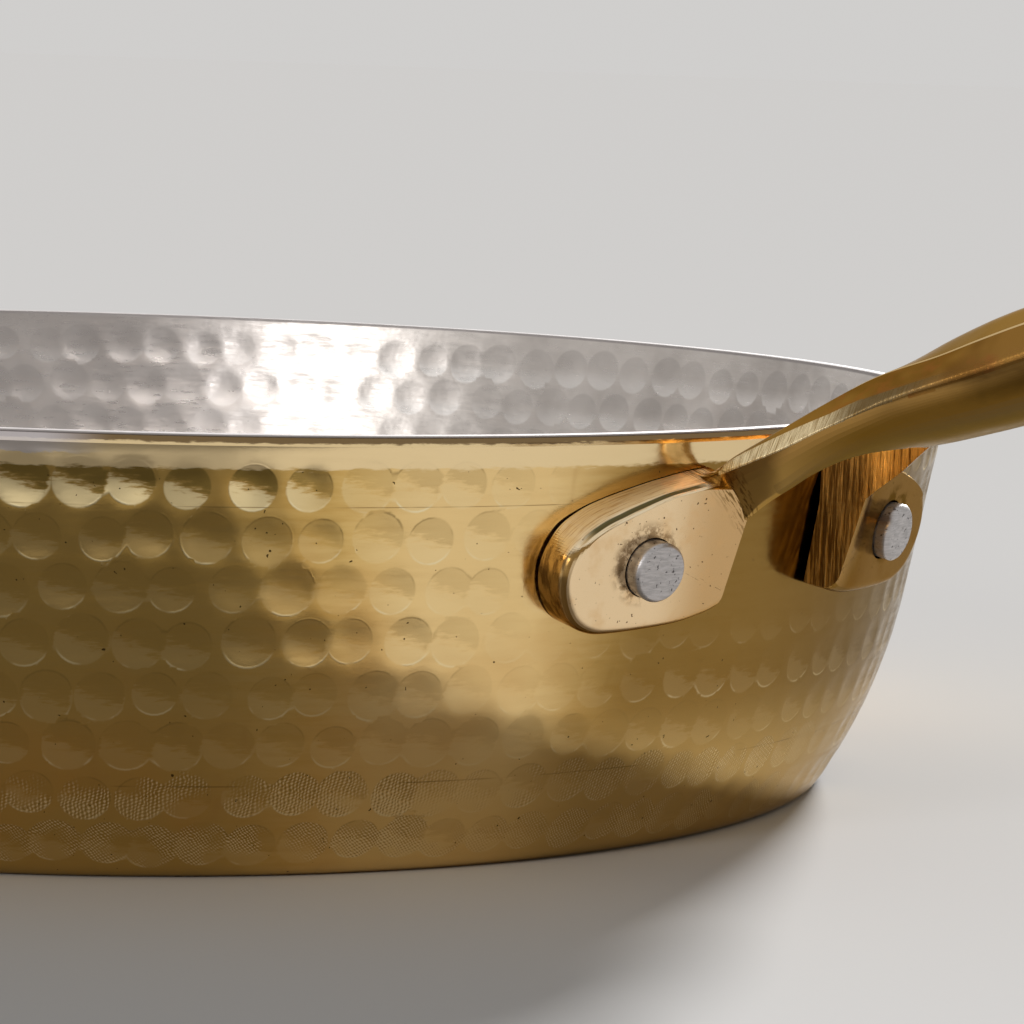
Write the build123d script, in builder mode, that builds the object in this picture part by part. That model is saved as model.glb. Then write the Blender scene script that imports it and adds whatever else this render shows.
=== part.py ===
from build123d import *
import math
import os

# A flared brass skillet: a raised pan, its tin lining, a forked cast handle and two rivets.
# Millimetres. The pan stands on z = 0 about the z axis and the handle runs along +x.

# Pan, measured on the outside of the wall: the belly's arc below, a straight flare above
height = 60.0
rim_radius = 131.5
flare_angle = 10.8
belly_height = 30.0
foot_inset = 18.1
foot_round = 3.2
inner_corner = 3.0
wall = 2.6
rim_bevel = 1.0
tin = 0.3

# Rivets
rivet_diameter = 8.0
rivet_angle = 11.4
rivet_drop = 15.5
rivet_proud = 2.5
rivet_tail_bevel = 0.5
rivet_head_diameter = 15.0
rivet_head_rise = 2.2
rivet_head_bevel = 1.4
rivet_hole_clearance = 0.05
rivet_head_gap = 0.3

# Lugs: flat-faced cast tongues whose backs are fitted to the round, flared wall
lug_gap = 0.25
lug_thickness = 5.5
lug_end_out = 4.9
lug_end_drop = 0.4
lug_end_radius = 9.0
lug_root = 15.0
lug_top_slope = 12.0
lug_foot_slope = 7.0
lug_top_bevel = 1.3
lug_edge_round = 0.9

# Notch filed between the arms, seen from above, with distances out from the wall
notch_half_width = 13.2
notch_flank = 12.5
notch_haunch = 22.0
notch_haunch_half_width = 9.4
notch_depth = 29.0
notch_apex_round = 3.0

# Hanging eye, with the round end of the grip about it
eye_diameter = 10.0
eye_out = 190.0
tip_radius = 14.0

# Sections of the casting from the lugs to past the tip. Each gives its distance out
# from the wall, then half widths with heights above the rivets, going round from the
# top flat over the shoulder, the ground bevel and the undercut side to the round keel.
stations = [
    dict(out=2.5, flat=(3.0, 12.0), shoulder=(17.2, 11.2), bevel=(17.6, 10.9), side=(17.8, 10.5),
         belly=(12.6, 4.2), keel=-2.0),
    dict(out=7.0, flat=(3.0, 13.6), shoulder=(17.1, 12.2), bevel=(17.8, 11.8), side=(18.0, 11.3),
         belly=(13.0, 4.8), keel=-1.0),
    dict(out=12.5, flat=(3.0, 17.0), shoulder=(16.2, 15.8), bevel=(17.4, 15.0), side=(18.2, 13.1),
         belly=(14.1, 8.0), keel=3.0),
    dict(out=19.5, flat=(3.0, 21.4), shoulder=(13.7, 20.4), bevel=(16.4, 18.4), side=(17.6, 16.3),
         belly=(12.0, 12.6), keel=10.6),
    dict(out=26.5, flat=(3.0, 26.0), shoulder=(10.6, 25.0), bevel=(14.7, 21.9), side=(15.8, 20.1),
         belly=(9.6, 16.8), keel=15.4),
    dict(out=33.5, flat=(3.0, 30.2), shoulder=(8.8, 28.2), bevel=(12.9, 24.5), side=(13.6, 23.4),
         belly=(9.0, 19.2), keel=16.9),
    dict(out=43.5, flat=(2.8, 34.6), shoulder=(7.6, 31.9), bevel=(10.6, 28.0), side=(11.0, 26.6),
         belly=(8.1, 21.8), keel=19.5),
    dict(out=62.0, flat=(2.8, 40.8), shoulder=(7.2, 38.5), bevel=(9.7, 34.9), side=(10.0, 33.5),
         belly=(7.4, 27.7), keel=25.1),
    dict(out=90.0, flat=(2.9, 47.6), shoulder=(7.3, 45.6), bevel=(9.7, 42.5), side=(10.0, 41.1),
         belly=(7.4, 35.9), keel=33.4),
    dict(out=125.0, flat=(4.0, 52.9), shoulder=(8.8, 51.4), bevel=(11.0, 48.9), side=(11.3, 47.8),
         belly=(8.6, 43.4), keel=41.3),
    dict(out=160.0, flat=(6.6, 55.8), shoulder=(11.2, 54.8), bevel=(13.0, 53.0), side=(13.2, 52.1),
         belly=(10.6, 48.0), keel=46.7),
    dict(out=190.0, flat=(8.8, 56.8), shoulder=(12.4, 56.0), bevel=(13.8, 54.6), side=(14.0, 53.8),
         belly=(11.4, 49.5), keel=48.8),
    dict(out=208.0, flat=(8.8, 56.9), shoulder=(12.4, 56.2), bevel=(13.8, 54.9), side=(14.0, 54.1),
         belly=(11.4, 50.2), keel=49.6),
]


def pan_side(inset=0.0):
    """Side of the pan from the rim down to the foot, moved in by inset."""
    flare_run = (height - belly_height) * math.tan(math.radians(flare_angle))
    rim = Vector(rim_radius, height)
    turn = Vector(rim_radius - flare_run, belly_height)
    foot = Vector(rim_radius - foot_inset, 0)
    with BuildLine():
        belly = TangentArc(turn, foot, tangent=turn - rim)
    down_flare = belly % 0
    down_foot = belly % 1
    into_flare = inset * Vector(down_flare.Y, -down_flare.X)
    into_foot = inset * Vector(down_foot.Y, -down_foot.X)
    with BuildLine() as side:
        Line(rim + into_flare, turn + into_flare)
        TangentArc(turn + into_flare, foot + into_foot, tangent=down_flare)
    return side.wire()


def filled_pan(inset):
    """Half section of the pan as if solid, moved in by inset and running on past the rim."""
    side = pan_side(inset)
    with BuildSketch() as section:
        with BuildLine():
            add(side)
            lip = PolarLine(side @ 0, 2 * foot_round, direction=-(side % 0))
            low = PolarLine(side @ 1, 2 * foot_round, direction=side % 1)
            Polyline(lip @ 1, (0, (lip @ 1).Y), (0, (low @ 1).Y), low @ 1)
        make_face()
        with Locations((0, inset)):
            Rectangle(2 * rim_radius, 2 * height, align=(Align.MIN, Align.MIN), mode=Mode.INTERSECT)
        corner = section.vertices().group_by(Axis.Y)[0].sort_by(Axis.X)[-1]
        if inset:
            chamfer(corner, inner_corner)
        else:
            fillet(corner, foot_round)
    return section.sketch


def pan_section(lining, trim):
    """Half section of the sheet with its lining, its rim and rim bevel filed back by trim."""
    bevel_reach = rim_bevel + trim * math.sqrt(2)
    with BuildSketch() as section:
        add(filled_pan(0))
        add(filled_pan(wall + lining), mode=Mode.SUBTRACT)
        Rectangle(2 * rim_radius, height - trim, align=(Align.MIN, Align.MIN), mode=Mode.INTERSECT)
        with BuildLine():
            Polyline(
                (rim_radius - bevel_reach, height),
                (rim_radius + rim_bevel, height),
                (rim_radius + rim_bevel, height - bevel_reach - rim_bevel),
                close=True,
            )
        make_face(mode=Mode.SUBTRACT)
    return section.sketch


# The brass is one raised sheet. The tin covers its inside, its rim and the rim's bevel.
brass_section = pan_section(lining=0, trim=tin)
tinned_section = pan_section(lining=tin, trim=0)

with BuildPart() as pan_body:
    with BuildSketch(Plane.XZ):
        add(brass_section)
    revolve(axis=Axis.Z)

with BuildPart() as tin_lining:
    with BuildSketch(Plane.XZ):
        add(tinned_section)
        add(brass_section, mode=Mode.SUBTRACT)
    revolve(axis=Axis.Z)


# The rivets go through the straight flare
rivet_height = height - rivet_drop
seat_lean = math.radians(flare_angle)
seat_radius = rim_radius - rivet_drop * math.tan(seat_lean)
turn = math.radians(-rivet_angle)

# Plane on the wall at the left rivet, x towards the fork's middle and z straight out of the wall
left_seat = Plane(
    origin=(seat_radius * math.cos(turn), seat_radius * math.sin(turn), rivet_height),
    x_dir=(-math.sin(turn), math.cos(turn), 0),
    z_dir=(math.cos(turn) * math.cos(seat_lean), math.sin(turn) * math.cos(seat_lean), -math.sin(seat_lean)),
)
outward = Axis(left_seat.origin, left_seat.z_dir)
upward = Axis(left_seat.origin, left_seat.y_dir)

# Left lug: a tongue with a round outer end, its top edge ground to a bevel. It starts
# inside the wall, which is cut out of it below.
lug_sink = lug_thickness / 2
with BuildPart() as lug:
    with BuildSketch(left_seat.offset(-lug_sink)):
        with BuildLine():
            end_centre = (-lug_end_out, -lug_end_drop)
            end_turn = 180 - lug_top_slope + lug_foot_slope
            end = CenterArc(end_centre, lug_end_radius, 90 + lug_top_slope, end_turn)
            top = PolarLine(end @ 0, 2 * lug_root, angle=lug_top_slope)
            foot = PolarLine(end @ 1, 2 * lug_root, angle=lug_foot_slope)
            Line(top @ 1, foot @ 1)
        make_face()
        Rectangle(2 * lug_root, 4 * lug_root, mode=Mode.INTERSECT)
    extrude(amount=lug_sink + lug_gap + lug_thickness)
    chamfer(lug.faces().sort_by(outward)[-1].edges().sort_by(upward)[-1], lug_top_bevel)
    fillet(lug.faces().sort_by(outward)[-1].edges().sort_by(upward)[:2], lug_edge_round)

# The room that the wall takes, with the gap behind the lugs
lug_backs = pan_side(-lug_gap)
with BuildPart() as wall_room:
    with BuildSketch(Plane.XZ):
        with BuildLine():
            add(lug_backs)
            Polyline(lug_backs @ 0, (0, height), (0, 0), lug_backs @ 1)
        make_face()
    revolve(axis=Axis.Z)

# Handle: arms and grip are one loft, joined to the lugs, fitted to the wall, then notched and drilled
with BuildPart() as handle:
    for station in stations:
        place = Plane(
            origin=(seat_radius + station["out"], 0, rivet_height), x_dir=(0, 1, 0), z_dir=(1, 0, 0)
        )
        with BuildSketch(place):
            with BuildLine():
                right = [station[edge] for edge in ("belly", "side", "bevel", "shoulder", "flat")]
                left = [(-half_width, rise) for half_width, rise in right]
                Polyline(*left, *reversed(right))
                ThreePointArc(right[0], (0, station["keel"]), left[0])
            make_face()
    loft()
    with BuildSketch(Plane((seat_radius + eye_out, 0, 0))):
        Circle(tip_radius)
        Rectangle(eye_out, 4 * tip_radius, align=(Align.MAX, Align.CENTER))
    extrude(amount=3 * height, mode=Mode.INTERSECT)
    add(lug.part)
    mirror(lug.part, about=Plane.XZ)
    add(wall_room.part, mode=Mode.SUBTRACT)
    with BuildSketch(Plane.XY.offset(rivet_height - notch_depth)) as notch:
        with BuildLine():
            flank = Line((0, -notch_half_width), (seat_radius + notch_flank, -notch_half_width))
            ThreePointArc(
                flank @ 1,
                (seat_radius + notch_haunch, -notch_haunch_half_width),
                (seat_radius + notch_depth, 0),
            )
            mirror(about=Plane.XZ)
            Line((0, notch_half_width), flank @ 0)
        make_face()
        fillet(notch.vertices().sort_by(Axis.X)[-1], notch_apex_round)
    extrude(amount=3 * notch_depth, mode=Mode.SUBTRACT)
    with BuildSketch(left_seat):
        Circle(rivet_diameter / 2 + rivet_hole_clearance)
    lug_hole = extrude(amount=2 * lug_thickness, mode=Mode.SUBTRACT)
    mirror(lug_hole, about=Plane.XZ, mode=Mode.SUBTRACT)
    with BuildSketch(Plane((seat_radius + eye_out, 0, 0))):
        Circle(eye_diameter / 2)
    extrude(amount=3 * height, mode=Mode.SUBTRACT)

# Rivets: a low bevelled head inside the tin, a shank, and a plain tail left proud of the lug
head_face = -wall - tin - rivet_head_gap
tail_end = lug_gap + lug_thickness + rivet_proud
with BuildPart() as rivet_left:
    with BuildSketch(Plane(left_seat.origin, left_seat.x_dir, -left_seat.y_dir)):
        with BuildLine():
            Polyline(
                (0, head_face - rivet_head_rise),
                (rivet_head_diameter / 2 - rivet_head_bevel, head_face - rivet_head_rise),
                (rivet_head_diameter / 2, head_face - rivet_head_rise + rivet_head_bevel),
                (rivet_head_diameter / 2, head_face),
                (rivet_diameter / 2, head_face),
                (rivet_diameter / 2, tail_end - rivet_tail_bevel),
                (rivet_diameter / 2 - rivet_tail_bevel, tail_end),
                (0, tail_end),
                close=True,
            )
        make_face()
    revolve(axis=outward)

with BuildPart() as rivet_right:
    mirror(rivet_left.part, about=Plane.XZ)

# Rivet holes through the sheet and its tin
with BuildPart() as wall_holes:
    with BuildSketch(left_seat.offset(wall)):
        Circle(rivet_diameter / 2 + rivet_hole_clearance)
    extrude(amount=-3 * wall - 2 * tin)
    mirror(about=Plane.XZ)

for sheet in (pan_body, tin_lining):
    with sheet:
        add(wall_holes.part, mode=Mode.SUBTRACT)

pieces = dict(
    pan_body=pan_body,
    tin_lining=tin_lining,
    handle=handle,
    rivet_left=rivet_left,
    rivet_right=rivet_right,
)
os.makedirs("parts", exist_ok=True)
for name, piece in pieces.items():
    piece.part.label = name
    export_step(piece.part, "parts/" + name + ".step")
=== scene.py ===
import bpy
import bmesh
import math
from mathutils import Matrix, Vector


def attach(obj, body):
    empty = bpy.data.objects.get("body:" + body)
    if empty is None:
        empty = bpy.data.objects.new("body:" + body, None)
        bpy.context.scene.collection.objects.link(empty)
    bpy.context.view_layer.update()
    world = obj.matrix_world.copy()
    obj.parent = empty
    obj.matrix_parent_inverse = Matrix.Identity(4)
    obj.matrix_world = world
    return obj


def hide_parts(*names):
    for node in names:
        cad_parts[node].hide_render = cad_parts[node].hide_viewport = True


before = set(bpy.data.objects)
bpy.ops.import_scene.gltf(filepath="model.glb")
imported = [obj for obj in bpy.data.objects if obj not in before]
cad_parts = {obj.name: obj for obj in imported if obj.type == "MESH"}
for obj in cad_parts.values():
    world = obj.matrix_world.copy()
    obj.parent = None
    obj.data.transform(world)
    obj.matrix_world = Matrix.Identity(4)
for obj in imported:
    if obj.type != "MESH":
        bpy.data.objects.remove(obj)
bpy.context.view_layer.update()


# ---------------------------------------------------------------- hammered pan
# The pan is one disc of brass, 2.6 mm thick, raised and hammered in eight courses round
# the outside. The marks fade out near the handle, and the lip is filed plain above them.

WALL_HEIGHT = 0.060
RIM_RADIUS = 0.1315
FLARE = math.radians(10.8)
BELLY_HEIGHT = 0.030
FOOT_INSET = 0.0181
FOOT_ROUND = 0.0032
SHEET = 0.0026
TIN = 0.0003
RIM_BEVEL = 0.001
PAN_SEGMENTS = 1000
FLOOR_RING = 0.06
RIM_RISE = 0.014
HIGH_BEARING = math.radians(-75.0)

def in_scene(name, data):
    """A new object in the scene, with this mesh, lamp or camera."""
    made = bpy.data.objects.new(name, data)
    bpy.context.scene.collection.objects.link(made)
    return made


def side_points(inset, steps):
    """Points (radius, height) up the pan's side from the foot to the rim, moved in by inset."""
    rim = Vector((RIM_RADIUS, WALL_HEIGHT))
    turn = Vector((RIM_RADIUS - (WALL_HEIGHT - BELLY_HEIGHT) * math.tan(FLARE), BELLY_HEIGHT))
    foot = Vector((RIM_RADIUS - FOOT_INSET, 0.0))
    inward = Vector((-math.cos(FLARE), math.sin(FLARE)))
    belly_radius = (foot - turn).length_squared / (2 * (foot - turn).dot(inward))
    centre = turn + belly_radius * inward
    start = math.atan2((foot - centre).y, (foot - centre).x)
    stop = math.atan2((turn - centre).y, (turn - centre).x)
    arc = belly_radius * (stop - start)
    whole = arc + (rim - turn).length
    points = []
    for step in range(steps + 1):
        run = whole * step / steps
        if run < arc:
            angle = start + run / belly_radius
            points.append(centre + (belly_radius - inset) * Vector((math.cos(angle), math.sin(angle))))
        else:
            points.append(turn + (rim - turn).normalized() * (run - arc) + inset * inward)
    return points


def cut_level(points, floor_level, lip_level):
    """The part of a side between two levels, with its ends put exactly on them."""
    kept = [p for p in points if floor_level < p.y < lip_level]
    below = max((p for p in points if p.y <= floor_level), key=lambda p: p.y, default=None)
    above = min((p for p in points if p.y >= lip_level), key=lambda p: p.y, default=None)
    if below is not None:
        share = (floor_level - below.y) / (kept[0].y - below.y)
        kept.insert(0, below.lerp(kept[0], share))
    if above is not None:
        share = (lip_level - kept[-1].y) / (above.y - kept[-1].y)
        kept.append(kept[-1].lerp(above, share))
    return kept


def round_corner(before, corner, after, radius, steps):
    """Arc that replaces a corner of a section."""
    to_before = (before - corner).normalized()
    to_after = (after - corner).normalized()
    half = to_before.angle(to_after) / 2
    reach = radius / math.tan(half)
    middle = corner + (to_before + to_after).normalized() * radius / math.sin(half)
    first = corner + to_before * reach - middle
    last = corner + to_after * reach - middle
    turn = first.angle_signed(last)
    points = []
    for step in range(steps + 1):
        spot = first.copy()
        spot.rotate(Matrix.Rotation(-turn * step / steps, 2))
        points.append(middle + spot)
    return points


def below_rim(radius, *spots):
    """Points of a section as (outwards from a radius, down from the rim), in millimetres."""
    return [Vector((radius + 0.001 * outwards, WALL_HEIGHT - 0.001 * down)) for outwards, down in spots]


def flat_run(level, *radii):
    return [Vector((radius, level)) for radius in radii]


def revolve(name, section):
    """Mesh of a section (radius, height) turned about the z axis, on which it starts and ends."""
    vertices = []
    rings = []
    turns = [2 * math.pi * segment / PAN_SEGMENTS for segment in range(PAN_SEGMENTS)]
    for point in section:
        if point.x < 1e-9:
            rings.append([len(vertices)] * PAN_SEGMENTS)
            vertices.append((0.0, 0.0, point.y))
            continue
        rings.append(list(range(len(vertices), len(vertices) + PAN_SEGMENTS)))
        for angle in turns:
            high_side = 0.5 + 0.5 * math.cos(angle - HIGH_BEARING)
            level = point.y * (1 + RIM_RISE * high_side)
            vertices.append((point.x * math.cos(angle), point.x * math.sin(angle), level))
    faces = []
    for lower, upper in zip(rings, rings[1:]):
        for segment in range(PAN_SEGMENTS):
            onward = (segment + 1) % PAN_SEGMENTS
            corners = [lower[segment], lower[onward], upper[onward], upper[segment]]
            faces.append(list(dict.fromkeys(corners)))
    mesh = bpy.data.meshes.new(name)
    mesh.from_pydata(vertices, [], faces)
    mesh.update()
    return in_scene(name, mesh)


outside = side_points(0.0, 74)
foot_arc = round_corner(Vector((0.09, 0.0)), outside[0], outside[4], FOOT_ROUND, 6)
outside = foot_arc + [p for p in outside if p.y > foot_arc[-1].y + 0.0004]
lip = below_rim(RIM_RADIUS, (-0.22, 1.4), (-0.3, 0.9), (-0.94, 0.32), (-1.3, 0.3))
outside = [p for p in outside if p.y < lip[0].y - 0.0002] + lip
inside = cut_level(side_points(SHEET, 60), SHEET, WALL_HEIGHT - TIN)
section = flat_run(0.0, 0.0, FLOOR_RING, 0.1) + outside + inside[::-8] + [inside[0]]
pan = revolve("pan_wall", section + flat_run(SHEET, FLOOR_RING, 0.0))


class Tree:
    """Short calls for the nodes of one tree: values and sockets go in, the first output comes out."""

    def __init__(self, tree):
        self.tree = tree

    def node(self, kind, inputs=(), **settings):
        """A new node. Its inputs are a dict from a socket's name or number to a value or socket."""
        made = self.tree.nodes.new(kind)
        for key, value in settings.items():
            setattr(made, key, value)
        for key, value in dict(inputs).items():
            self.put(made.inputs[key], value)
        return made

    def put(self, into, value):
        if isinstance(value, bpy.types.NodeSocket):
            self.tree.links.new(value, into)
        else:
            into.default_value = value

    def math(self, operation, *values, clamp=False):
        made = self.node("ShaderNodeMath", enumerate(values), operation=operation, use_clamp=clamp)
        return made.outputs[0]

    def times(self, first, *others, clamp=False):
        for other in others:
            first = self.math("MULTIPLY", first, other, clamp=clamp)
        return first

    def plus(self, first, *others):
        for other in others:
            first = self.math("ADD", first, other)
        return first

    def minus(self, first, second, clamp=False):
        return self.math("SUBTRACT", first, second, clamp=clamp)

    def away_from(self, value, middle):
        return self.math("ABSOLUTE", self.minus(value, middle))

    def waver(self, value, noise, width):
        """A value that noise moves up and down within this width."""
        return self.plus(value, self.times(self.minus(noise, 0.5), width))

    def vector(self, operation, *values):
        inputs = dict(zip((0, 3) if operation == "SCALE" else (0, 1), values))
        made = self.node("ShaderNodeVectorMath", inputs, operation=operation)
        return made.outputs[1 if operation in ("DOT_PRODUCT", "LENGTH", "DISTANCE") else 0]

    def split(self, place):
        return self.node("ShaderNodeSeparateXYZ", {0: place}).outputs

    def join(self, x=0.0, y=0.0, z=0.0):
        return self.node("ShaderNodeCombineXYZ", {0: x, 1: y, 2: z}).outputs[0]

    def ramp(self, value, low, high, to_low=0.0, to_high=1.0, kind="SMOOTHSTEP"):
        """Runs from to_low to to_high while the value runs from low to high, and stops there."""
        inputs = enumerate((value, low, high, to_low, to_high))
        return self.node("ShaderNodeMapRange", inputs, interpolation_type=kind).outputs[0]

    def read(self, name):
        """A value that the mesh carries under a name."""
        return self.node("ShaderNodeAttribute", attribute_name=name).outputs["Fac"]

    def noise(self, place, scale, detail=2.0, roughness=0.5, stretch=(1.0, 1.0, 1.0)):
        """Noise from 0 to 1. A stretch under 1 draws it out along that axis, and one over 1 narrows it."""
        mapped = self.node("ShaderNodeMapping", {"Vector": place, "Scale": stretch}).outputs[0]
        inputs = {"Vector": mapped, "Scale": scale, "Detail": detail, "Roughness": roughness}
        return self.node("ShaderNodeTexNoise", inputs).outputs[0]

    def blend(self, share, first, second):
        """The first colour, with this share of the second over it."""
        first, second = (c if isinstance(c, bpy.types.NodeSocket) else (*c, 1.0) for c in (first, second))
        inputs = {"Factor": share, "A": first, "B": second}
        return self.node("ShaderNodeMix", inputs, data_type="RGBA", blend_type="MIX").outputs["Result"]

    def layers(self, colour, *upper_ones):
        """A colour with others laid over it in turn, each as (share, colour)."""
        for share, upper in upper_ones:
            colour = self.blend(share, colour, upper)
        return colour

    def relief(self, *reliefs):
        """Normal of a surface with fine reliefs on it, each as (height, depth in metres)."""
        normal = None
        for height, depth in reliefs:
            made = self.node("ShaderNodeBump", {"Strength": 1.0, "Distance": depth, "Height": height})
            if normal is not None:
                self.put(made.inputs["Normal"], normal)
            normal = made.outputs[0]
        return normal

    def dress(self, shader, **looks):
        """Puts these colours and values on a shader's sockets."""
        for name, value in looks.items():
            self.put(shader.inputs[name.replace("_", " ")], value)


COURSES = 8
BLOWS_ROUND = 110
COURSE_STAGGER = 0.381966
THROW_RADIUS = 0.3
LOWEST_MARK = 0.0012
HIGHEST_MARK = 0.0580

marks = bpy.data.node_groups.new("hammer_marks", "GeometryNodeTree")
marks.interface.new_socket("Geometry", in_out="INPUT", socket_type="NodeSocketGeometry")
marks.interface.new_socket("Geometry", in_out="OUTPUT", socket_type="NodeSocketGeometry")
for name, kind, default in (
    ("Courses", "Int", COURSES),
    ("Blows round", "Int", BLOWS_ROUND),
    ("Top course height", "Float", 0.0542),
    ("Course pitch", "Float", 0.00702),
    ("Face radius", "Float", 0.0036),
    ("Depth", "Float", 0.00032),
    ("Wander", "Float", 0.0009),
    ("From inside", "Float", 0.0),
    ("Seed", "Int", 7),
    ("Metal", "Material", None),
):
    item = marks.interface.new_socket(name, in_out="INPUT", socket_type="NodeSocket" + kind)
    if default is not None:
        item.default_value = default
t = Tree(marks)
given = t.node("NodeGroupInput").outputs


def random_value(low, high, salt):
    """A number between two limits for each blow. Its salt keeps it apart from the others."""
    inputs = {2: low, 3: high, 8: t.plus(given["Seed"], float(salt))}
    return t.node("FunctionNodeRandomValue", inputs, data_type="FLOAT").outputs[1]


# One point for each blow, thrown at its course's height, from outside or from inside
blow = t.node("GeometryNodeInputIndex").outputs[0]
course = t.math("FLOOR", t.math("DIVIDE", blow, given["Blows round"]))
place_in_course = t.math("MODULO", blow, given["Blows round"])
stagger = t.math("FRACT", t.times(course, COURSE_STAGGER))
step_angle = t.math("DIVIDE", 2 * math.pi, given["Blows round"])
wander_angle = t.math("DIVIDE", t.times(given["Wander"], random_value(-1.0, 1.0, 1)), RIM_RADIUS)
blow_angle = t.plus(t.times(t.plus(place_in_course, stagger), step_angle), wander_angle)
blow_height = t.plus(
    t.minus(given["Top course height"], t.times(course, given["Course pitch"])),
    t.times(given["Wander"], 0.5, random_value(-1.0, 1.0, 2)),
)
outward = t.join(t.math("COSINE", blow_angle), t.math("SINE", blow_angle))
launch = t.minus(THROW_RADIUS, t.times(given["From inside"], THROW_RADIUS))
throw = t.node("GeometryNodeRaycast", {
    "Target Geometry": given["Geometry"],
    "Source Position": t.vector("ADD", t.vector("SCALE", outward, launch), t.join(z=blow_height)),
    "Ray Direction": t.vector("SCALE", outward, t.minus(t.times(given["From inside"], 2.0), 1.0)),
    "Ray Length": 1.0,
})
blows = t.node("GeometryNodePoints", {
    "Count": t.times(given["Courses"], given["Blows round"]), "Position": throw.outputs["Hit Position"],
})


def keep_on(geometry, **values):
    """Stores values on a geometry under their names."""
    for name, value in values.items():
        inputs = {"Geometry": geometry, "Name": name, "Value": value}
        stored = t.node("GeometryNodeStoreNamedAttribute", inputs, data_type="FLOAT", domain="POINT")
        geometry = stored.outputs[0]
    return geometry


size, strength = random_value(0.86, 1.06, 3), random_value(0.55, 1.1, 4)
thrown = keep_on(blows.outputs[0], size=size, force=strength, course=course)

# Each vertex of the wall takes the mark of the nearest blow
nearest = t.node("GeometryNodeSampleNearest", {"Geometry": thrown}, domain="POINT").outputs[0]
position = t.node("GeometryNodeInputPosition").outputs[0]


def of_nearest(value, kind="FLOAT"):
    """A value, or what the points carry under a name, as the nearest blow has it."""
    if isinstance(value, str):
        value = t.node("GeometryNodeInputNamedAttribute", {"Name": value}, data_type="FLOAT").outputs[0]
    inputs = {"Geometry": thrown, "Value": value, "Index": nearest}
    return t.node("GeometryNodeSampleIndex", inputs, data_type=kind, domain="POINT").outputs[0]


blow_centre = of_nearest(position, "FLOAT_VECTOR")
reach = t.times(given["Face radius"], of_nearest("size"))
share = t.math("DIVIDE", t.vector("DISTANCE", position, blow_centre), reach)
offset = t.vector("SUBTRACT", position, blow_centre)
radial = t.vector("NORMALIZE", t.vector("MULTIPLY", position, (1.0, 1.0, 0.0)))
onward = t.vector("CROSS_PRODUCT", (0.0, 0.0, 1.0), radial)
side = t.math("DIVIDE", t.vector("DOT_PRODUCT", offset, onward), reach)
up = t.math("DIVIDE", t.vector("DOT_PRODUCT", offset, (0.0, 0.0, 1.0)), reach)
across, beside, level = t.split(position)
from_handle = t.math("ABSOLUTE", t.math("ARCTAN2", beside, across))
clear_of_handle = t.ramp(from_handle, 0.24, 0.46)
low_courses = t.ramp(level, 0.036, 0.024, 0.0, 0.55)
course_of = of_nearest("course")
fainter_down = t.ramp(course_of, 0.0, 2.0, 1.0, 0.62, kind="LINEAR")
force = t.times(of_nearest("force"), t.math("MAXIMUM", clear_of_handle, low_courses), fainter_down)
normal = t.node("GeometryNodeInputNormal").outputs[0]
sign = t.minus(1.0, t.times(given["From inside"], 2.0))
struck_side = t.math("GREATER_THAN", t.times(t.vector("DOT_PRODUCT", normal, radial), sign), 0.5)
in_band = t.times(t.math("GREATER_THAN", level, LOWEST_MARK), t.math("LESS_THAN", level, HIGHEST_MARK))
struck_side = t.times(struck_side, in_band)
dish = t.minus(1.0, t.math("POWER", share, 2.0), clamp=True)
dent = t.times(dish, force, given["Depth"], struck_side, sign, -1.0)
force = t.times(force, struck_side)
kept = keep_on(
    given["Geometry"], blow_share=share, blow_force=force, blow_course=course_of, blow_side=side, blow_up=up
)
moved = t.node("GeometryNodeSetPosition", {"Geometry": kept, "Offset": t.vector("SCALE", normal, dent)})
real = t.node("GeometryNodeRealizeInstances", {0: moved.outputs[0]})
finish = t.node("GeometryNodeSetMaterial", {"Geometry": real.outputs[0], "Material": given["Metal"]})
t.node("NodeGroupOutput", {0: finish.outputs[0]})


def keep_result(piece, modifier):
    """Makes what a modifier shows into the piece's plain mesh."""
    bpy.context.view_layer.update()
    evaluated = piece.evaluated_get(bpy.context.evaluated_depsgraph_get())
    mesh = bpy.data.meshes.new_from_object(evaluated)
    piece.modifiers.remove(modifier)
    piece.data = mesh


def bake_nodes(piece, group, **values):
    """Runs a geometry tree on a piece with these inputs and keeps the result."""
    modifier = piece.modifiers.new("made", "NODES")
    modifier.node_group = group
    names = {item.name: item.identifier for item in group.interface.items_tree if item.in_out == "INPUT"}
    for key, value in values.items():
        modifier[names[key.replace("_", " ")]] = value
    keep_result(piece, modifier)


def principled(name, metallic=1.0):
    """A new material, its tree, its shader and the place on the piece that it's asked for."""
    material = bpy.data.materials.new(name)
    material.use_nodes = True
    tree = Tree(material.node_tree)
    shader = material.node_tree.nodes["Principled BSDF"]
    shader.inputs["Metallic"].default_value = metallic
    return material, tree, shader, tree.node("ShaderNodeTexCoord").outputs["Object"]


def smooth(piece, sharp_from):
    """Shades a piece smooth, up to edges that turn by this many degrees."""
    for polygon in piece.data.polygons:
        polygon.use_smooth = True
    piece.data.set_sharp_from_angle(angle=math.radians(sharp_from))


hammered_brass, t, shader, here = principled("hammered_brass")
across, beside, level = t.split(here)
bearing = t.math("ARCTAN2", beside, across)
from_handle = t.math("ABSOLUTE", bearing)
share, force, course, side, up = (t.read("blow_" + name) for name in ("share", "force", "course", "side", "up"))
smear = t.noise(here, 90.0, 4.0, 0.6, stretch=(1.0, 1.0, 9.0))
ragged = t.noise(here, 420.0, 3.0, 0.6, stretch=(1.0, 1.0, 5.0))
patch = t.noise(here, 26.0, 3.0, 0.55)
streak = t.noise(here, 160.0, 3.0, 0.6, stretch=(1.0, 1.0, 0.12))

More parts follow.
